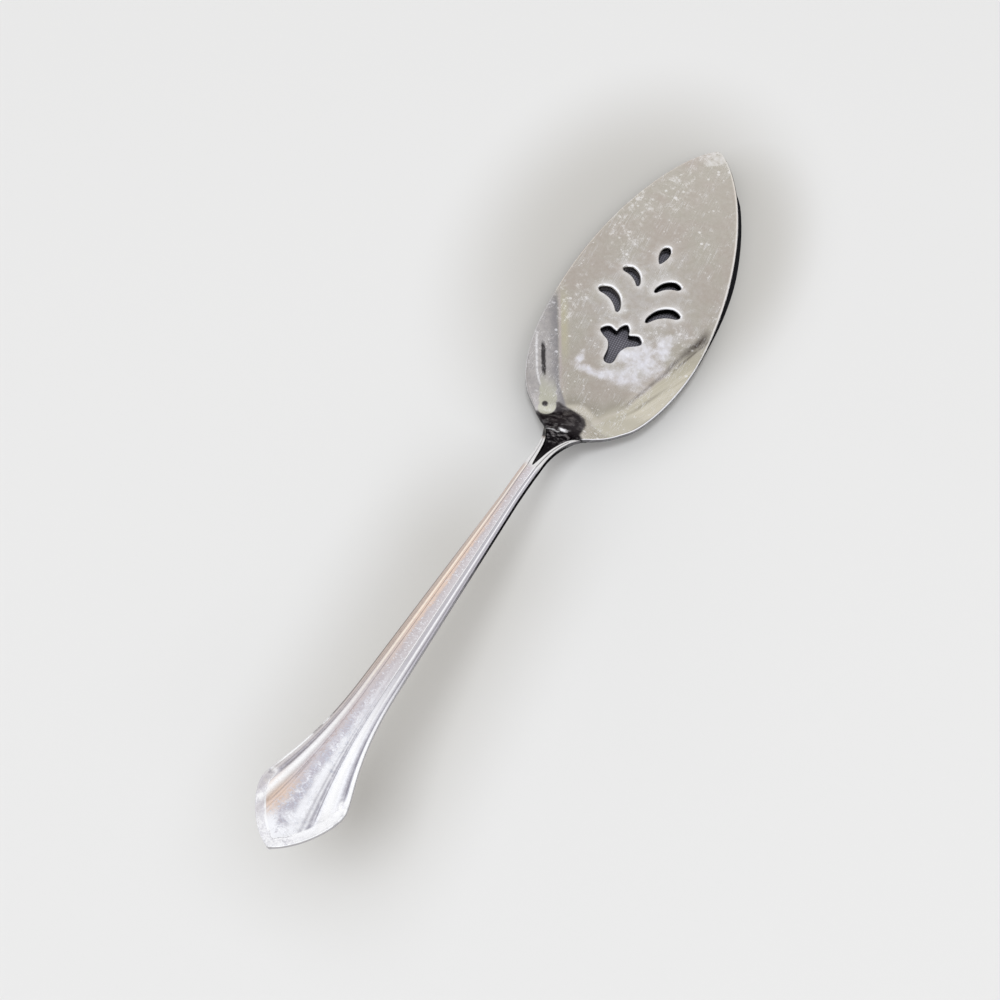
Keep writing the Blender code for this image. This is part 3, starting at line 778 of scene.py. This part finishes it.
def handleMetal():
    f = handleFinish
    material, tree, shader, coords = startMetal("handleMetal")
    x, y = splitAt(tree, coords)
    groove, across, bead = (markAt(tree, name) for name in ("groove", "across", "bead"))
    cloud = noiseAt(tree, coords, 160.0, 3.0, 0.55)
    mottle = noiseAt(tree, coords, 900.0, 5.0, 0.65)
    speckle = noiseAt(tree, coords, 2100.0, 2.0, 0.7)
    grain = noiseAt(tree, coords, 3200.0, 3.0, 0.6)
    endward = backFromTip(tree, y, 232.0, 320.0, 18.0)
    stemward = less(tree, endward)
    # painted reflection: tones across the handle, peach and pink on the left, lilac in the middle, white
    # patches and white to the right
    warmth = most(tree, backFromTip(tree, y, 168.0, 214.0, 14.0),
                  times(tree, backFromTip(tree, y, 255.0, 275.0, 5.0), band(tree, across, -0.08, -0.32),
                        band(tree, bead, 0.5, 0.0)))
    drift = combine(tree, "ADD", across, band(tree, speckle, 0.25, 0.75, -0.08, 0.08))
    drift = combine(tree, "ADD", drift, band(tree, cloud, 0.25, 0.75, -0.10, 0.10))
    side = tint(tree, warmth, tint(tree, times(tree, endward, 0.85), f["pink"], f["mist"]), f["peach"])
    tone = tint(tree, band(tree, drift, -0.34, -0.06), side, tint(tree, endward, f["stem"], f["lilac"]))
    icy = times(tree, band(tree, drift, -0.14, 0.2), band(tree, endward, 0.0, 1.0, 0.2, 1.0))
    tone = tint(tree, icy, tone, f["ice"])
    glitter = times(tree, band(tree, speckle, 0.52, 0.64), band(tree, mottle, 0.4, 0.6),
                    band(tree, across, -0.5, -0.1), 0.8)
    tone = tint(tree, glitter, tone, f["ice"])
    blue = times(tree, band(tree, speckle, 0.44, 0.6), band(tree, mottle, 0.36, 0.56),
                 band(tree, cloud, 0.66, 0.46), endward)
    tone = tint(tree, times(tree, blue, band(tree, across, -0.45, -0.2), 0.85), tone, f["frost"])
    pits = times(tree, band(tree, grain, 0.54, 0.64), band(tree, mottle, 0.5, 0.6), stemward, 0.6)
    tone = tint(tree, pits, tone, f["shade"])
    mauve = times(tree, hump(tree, drift, -0.36, 0.16), backFromTip(tree, y, 230.0, 254.0, 6.0),
                  band(tree, mottle, 0.34, 0.6, 0.2, 0.8))
    tone = tint(tree, mauve, tone, f["mauve"])
    blot = noiseAt(tree, coords, 420.0, 6.0, 0.68, 0.3)
    foot = times(tree, backFromTip(tree, y, 263.5, 275.0, 3.0), band(tree, blot, 0.34, 0.52),
                 band(tree, across, -0.5, -0.2))
    cloudy = times(tree, band(tree, blot, 0.48, 0.6), endward, band(tree, across, -0.36, 0.0),
                   band(tree, speckle, 0.36, 0.52, 0.25, 1.0))
    patch = most(tree, foot, times(tree, cloudy, 0.9),
                 times(tree, hump(tree, across, 0.12, 0.14), endward, band(tree, cloud, 0.35, 0.6), 0.8))
    tone = tint(tree, patch, tone, f["ice"])
    # painted reflection: the left outer band darker, the right side shaded on the stem and white on the end
    tone = tint(tree, band(tree, across, -0.68, -0.74), tone, tint(tree, endward, f["band"], f["wing"]))
    tone = tint(tree, times(tree, band(tree, across, 0.42, 0.5), 0.8), tone,
                tint(tree, endward, f["shade"], f["ice"]))
    # painted shade: a thin dark line along the left edge of the stem
    rim = times(tree, hump(tree, across, -0.95, 0.07), backFromTip(tree, y, 176.0, 246.0, 8.0), 0.7)
    tone = tint(tree, rim, tone, f["dark"])
    # painted highlight: a cream line along the left rib of the stem
    line = times(tree, hump(tree, across, -0.6, 0.1), stemward, 0.8)
    colour = tint(tree, line, tone, f["cream"])
    # painted highlights: white ribs, the end's raised border and patches on the left flare
    ribs = most(tree, hump(tree, across, -0.6, 0.17), hump(tree, across, 0.58, 0.17),
                band(tree, across, 0.86, 0.92))
    ribs = times(tree, ribs, endward)
    fineRibs = times(tree, most(tree, hump(tree, across, 0.4, 0.08), hump(tree, across, 0.7, 0.1)),
                     stemward)
    facing = facingUp(tree)
    right = band(tree, x, -0.0002, 0.0002)
    fork = most(tree, times(tree, right, backFromTip(tree, y, 126.0, 146.0, 2.5)),
                backFromTip(tree, y, 132.0, 146.0, 1.5))
    rail = times(tree, fork, band(tree, facing, 0.3, 0.55))
    # painted shade: side walls around the neck and the prong stubs black
    sideShade = times(tree, band(tree, facing, 0.45, 0.15), backFromTip(tree, y, 100.0, 175.0, 22.0), 0.9)
    sideShade = most(tree, sideShade, times(tree, less(tree, right), backFromTip(tree, y, 100.0, 131.5, 1.0)))
    sideShade = most(tree, sideShade, backFromTip(tree, y, 100.0, 124.5, 1.5))
    flare = times(tree, band(tree, across, -0.88, -0.95), backFromTip(tree, y, 238.0, 254.0, 3.0),
                  band(tree, cloud, 0.4, 0.52))
    frayed = combine(tree, "ADD", bead, band(tree, mottle, 0.3, 0.7, -0.5, 0.2))
    leftEnd = times(tree, band(tree, across, -0.25, -0.5), backFromTip(tree, y, 240.0, 267.0, 2.0))
    rimWhite = times(tree, band(tree, frayed, 0.25, 0.7), band(tree, mottle, 0.3, 0.58, 0.35, 1.0),
                     less(tree, times(tree, leftEnd, 0.75)))
    rimWhite = most(tree, times(tree, rimWhite, band(tree, blot, 0.36, 0.52, 0.45, 1.0)),
                    times(tree, hump(tree, bead, 0.45, 0.4), band(tree, mottle, 0.3, 0.55, 0.4, 1.0)))
    white = most(tree, ribs, fineRibs, rimWhite, flare)
    colour = tint(tree, times(tree, white, band(tree, speckle, 0.3, 0.6, 0.8, 1.0)), colour, f["rib"])
    # painted highlight: bright tops of the fork's rails
    colour = tint(tree, rail, colour, f["rail"])
    # painted shade in the grooves, softer toward the end
    grooveShade = times(tree, band(tree, groove, 0.22, 1.0), band(tree, mottle, 0.2, 0.55, 0.6, 1.0),
                 band(tree, across, -0.7, -0.5, 0.6, 1.0))
    grooveShade = times(tree, grooveShade, less(tree, times(tree, band(tree, across, 0.0, -0.2), endward, 0.5)))
    colour = tint(tree, grooveShade, colour, tint(tree, endward, f["dark"], f["softShade"]))
    # painted shade: soft dark lines along the end's grooves and inside its border
    furrow = most(tree, hump(tree, across, 0.37, 0.07), times(tree, hump(tree, across, 0.27, 0.05), 0.6),
                  hump(tree, across, 0.8, 0.1), hump(tree, across, -0.78, 0.1))
    furrow = times(tree, furrow, endward, band(tree, bead, 0.6, 0.1),
                   band(tree, mottle, 0.3, 0.6, 0.45, 0.8))
    lineShade = most(tree, furrow,
                times(tree, hump(tree, frayed, 0.4, 0.3), band(tree, cloud, 0.44, 0.58), 0.55))
    colour = tint(tree, lineShade, colour, f["softShade"])
    outside = times(tree, band(tree, bead, 0.75, 0.98), band(tree, blot, 0.46, 0.56),
                    band(tree, across, 0.75, 0.3), 0.4)
    colour = tint(tree, outside, colour, f["lilac"])
    # painted shade: the end's side walls darker
    sideWallShade = times(tree, band(tree, facing, 0.5, 0.2), backFromTip(tree, y, 186.0, 320.0, 14.0))
    colour = tint(tree, times(tree, sideWallShade, 0.9), colour, f["brink"])
    colour = tint(tree, sideShade, colour, f["black"])
    tree.links.new(colour, shader.inputs["Base Color"])
    # painted highlights and white patches made less metallic so that they stay white
    mattWhite = most(tree, times(tree, white, 0.5), times(tree, patch, 0.65), times(tree, glitter, 0.6))
    powdery = times(tree, mattWhite, endward, less(tree, most(tree, lineShade, grooveShade, outside, sideWallShade)))
    tree.links.new(less(tree, powdery), shader.inputs["Metallic"])
    lines = times(tree, scratchesAt(tree, coords, 0.25, 1400.0, 0.014), band(tree, mottle, 0.45, 0.62))
    rough = band(tree, mottle, 0.3, 0.7, f["gloss"], f["gloss"] + 0.12)
    rough = combine(tree, "ADD", rough,
                    most(tree, times(tree, grooveShade, 0.2), times(tree, rail, 0.35), times(tree, sideWallShade, 0.5)))
    tree.links.new(combine(tree, "ADD", rough, times(tree, lines, 0.15)), shader.inputs["Roughness"])
    height = combine(tree, "ADD", times(tree, mottle, 0.5), times(tree, grain, 0.35))
    height = combine(tree, "SUBTRACT", height, times(tree, lines, 0.5))
    dents = addNode(tree, "ShaderNodeBump", {"Strength": 0.22, "Distance": 0.0001}, {"Height": height})
    tree.links.new(dents.outputs["Normal"], shader.inputs["Normal"])
    return material


for piece, material in ((blade, bladeMetal()), (handle, handleMetal())):
    piece.data.materials.clear()
    piece.data.materials.append(material)
print("metals set")

# Stage: pale floor with painted shade around the server, a black strip for the shadow under the blade's
# right edge, soft light, and cards that only the metal sees
studio = {
    "floor": (0.735, 0.733, 0.731), "floorShade": (0.49, 0.476, 0.45), "floorDrop": 3.0,
    "shadeSpots": ((-11.0, 46.0, 44.0, 62.0, 0.5), (6.0, 44.0, 33.0, 56.0, 0.35)),
    "shadeHandle": (-9.0, 42.0, 144.0, 260.0), "shadeSoft": 26.0, "shadeMost": 0.8,
    "cloth": (0.11, 0.107, 0.125), "thread": (0.33, 0.32, 0.37), "clothDrop": 1.3, "clothFrom": 40.0,
    "clothRows": 28, "clothShare": 0.8, "threadScale": 420.0, "stripDrop": 2.7, "stripOut": 2.1,
    "stripIn": 2.5, "stripEnd": 90.0, "tuck": 0.3, "sightX": 0.237, "sightS": 0.495,
    "sky": ((0.0, (0.80, 0.80, 0.79)), (0.10, (1.04, 1.04, 1.05)), (0.56, (1.02, 1.01, 1.0)),
            (0.76, (0.62, 0.61, 0.595)), (0.9, (0.54, 0.53, 0.515)), (1.0, (0.42, 0.41, 0.395))),
    "flags": {"tipFlag": ((0.12, 0.09), (0.06, 0.1, -0.0005), (0, 0, 0)),
              "neckFlag": ((0.08, 0.072), (0.04, -0.026, -0.0005), (0, 0, 0))},
    "lamps": {"key": ((0.133, -0.757, 2.64), 0.7, 27.0), "fill": ((1.5, -0.9, 2.2), 1.0, 6.0)},
    "lampTone": (0.94, 0.97, 1.0), "lens": 48.6, "distance": 378.1, "azimuth": 25.67, "elevation": 61.24,
    "aim": (-8.46, -12.56, 2.0),
}


def plainMaterial(name, colour, roughness):
    material = bpy.data.materials.new(name)
    material.use_nodes = True
    shader = material.node_tree.nodes["Principled BSDF"]
    shader.inputs["Base Color"].default_value = (*colour, 1.0)
    shader.inputs["Roughness"].default_value = roughness
    shader.inputs["Specular IOR Level"].default_value = 0.1
    return material


def wovenMaterial():
    material = plainMaterial("clothDark", studio["cloth"], 0.95)
    tree = material.node_tree
    coords = addNode(tree, "ShaderNodeTexCoord").outputs["Object"]
    threads = []
    for way in ("X", "Y"):
        wave = addNode(tree, "ShaderNodeTexWave",
                       {"Scale": studio["threadScale"], "Distortion": 1.5, "Detail": 2.0},
                       {"Vector": coords}, bands_direction=way)
        threads.append(wave.outputs["Fac"])
    colour = tint(tree, times(tree, *threads), studio["cloth"], studio["thread"])
    tree.links.new(colour, tree.nodes["Principled BSDF"].inputs["Base Color"])
    return material


def stagePlane(name, sizeX, sizeY, centre, turn, material):
    bm = bmesh.new()
    bmesh.ops.create_grid(bm, x_segments=1, y_segments=1, size=0.5)
    bmesh.ops.scale(bm, vec=(sizeX, sizeY, 1.0), verts=bm.verts[:])
    bmesh.ops.rotate(bm, matrix=Euler(turn).to_matrix(), verts=bm.verts[:])
    bmesh.ops.translate(bm, vec=centre, verts=bm.verts[:])
    plane = newPiece(name, bm)
    plane.data.materials.append(material)
    return plane


def floorMaterial():
    g = studio
    material = plainMaterial("floorPaper", g["floor"], 0.9)
    tree = material.node_tree
    coords = addNode(tree, "ShaderNodeTexCoord").outputs["Object"]
    x, y = splitAt(tree, coords)
    middle, reach, first, last = g["shadeHandle"]
    # painted shade around the server in the floor's colour
    soft = times(tree, hump(tree, x, middle * mm, reach * mm),
                 backFromTip(tree, y, first, last, g["shadeSoft"]))
    soft = times(tree, most(tree, soft, *(spotAt(tree, coords, *spot) for spot in g["shadeSpots"])),
                 g["shadeMost"])
    tree.links.new(tint(tree, soft, g["floor"], g["floorShade"]),
                   tree.nodes["Principled BSDF"].inputs["Base Color"])
    return material


def flat(name, line, low, material):  # shifted along the line of sight as it drops
    bm = bmesh.new()
    shiftX, shiftS = studio["sightX"] * low, studio["sightS"] * low
    points = [place(x - shiftX, s - shiftS, -low) for x, s in line]
    bmesh.ops.contextual_create(bm, geom=ringLoop(bm, points))
    sheet = newPiece(name, bm)
    sheet.data.materials.append(material)


def dressStage():
    g = studio
    stagePlane("floor", 6.0, 6.0, (0.0, 0.0, -g["floorDrop"] * mm), (0, 0, 0), floorMaterial())
    black = plainMaterial("flagDark", (0.012, 0.012, 0.014), 1.0)
    side = [4.0 + 2.0 * k for k in range(44)]
    edge, inner = [], []
    for s in side:  # black strip standing in for the shadow under the blade's right edge, thin at the tip and where it runs out
        under, left = halfWidth(s) - g["tuck"], g["stripEnd"] - s
        edge.append((under + g["stripOut"] * ease((s - 3.0) / 14.0) * ease(left / 48.0), s))
        inner.append((under - g["stripIn"] * ease((s - 4.0) / 24.0) * ease(left / 24.0), s))
    flat("edgeShadowStrip", edge + inner[::-1], g["stripDrop"], black)
    span = [g["clothFrom"] + 2.0 * k for k in range(g["clothRows"])]
    rightSide = [(g["clothShare"] * halfWidth(s), s) for s in span]
    flat("cloth", rightSide + [(-x, s) for x, s in rightSide[::-1]], g["clothDrop"], wovenMaterial())
    for name, (size, centre, turn) in g["flags"].items():  # dark flags that only the metal sees
        flag = stagePlane(name, *size, centre, [math.radians(a) for a in turn], black)
        flag.visible_camera = False
        flag.visible_diffuse = False
        flag.visible_shadow = False
    world = bpy.data.worlds.new("softSky")
    bpy.context.scene.world = world
    world.use_nodes = True
    tree = world.node_tree
    sight = addNode(tree, "ShaderNodeTexCoord").outputs["Generated"]
    up = addNode(tree, "ShaderNodeSeparateXYZ", links={0: sight}).outputs["Z"]
    ramp = addNode(tree, "ShaderNodeValToRGB", links={"Fac": up})
    stops = ramp.color_ramp.elements
    for i, (at, colour) in enumerate(g["sky"]):
        stop = stops[i] if i < 2 else stops.new(at)
        stop.position = at
        stop.color = (*colour, 1.0)
    tree.links.new(ramp.outputs["Color"], tree.nodes["Background"].inputs["Color"])
    for name, (spot, size, power) in g["lamps"].items():
        light = bpy.data.lights.new(name, "AREA")
        light.size = size
        light.energy = power
        light.color = g["lampTone"]
        lamp = bpy.data.objects.new(name, light)
        lamp.location = spot
        lamp.rotation_euler = Vector(spot).to_track_quat("Z", "Y").to_euler()
        bpy.context.scene.collection.objects.link(lamp)


def setCamera():
    g = studio
    a, e = math.radians(g["azimuth"]), math.radians(g["elevation"])
    back = Vector((math.sin(a) * math.cos(e), -math.cos(a) * math.cos(e), math.sin(e)))
    lens = bpy.data.cameras.new("camera")
    lens.lens = g["lens"]
    lens.sensor_width = 36.0
    lens.clip_start = 0.01
    camera = bpy.data.objects.new("camera", lens)
    camera.location = Vector(g["aim"]) * mm + back * g["distance"] * mm
    camera.rotation_euler = back.to_track_quat("Z", "Y").to_euler()
    bpy.context.scene.collection.objects.link(camera)
    bpy.context.scene.camera = camera


dressStage()
setCamera()
bpy.context.scene.view_settings.view_transform = "Standard"
print("stage and camera set")
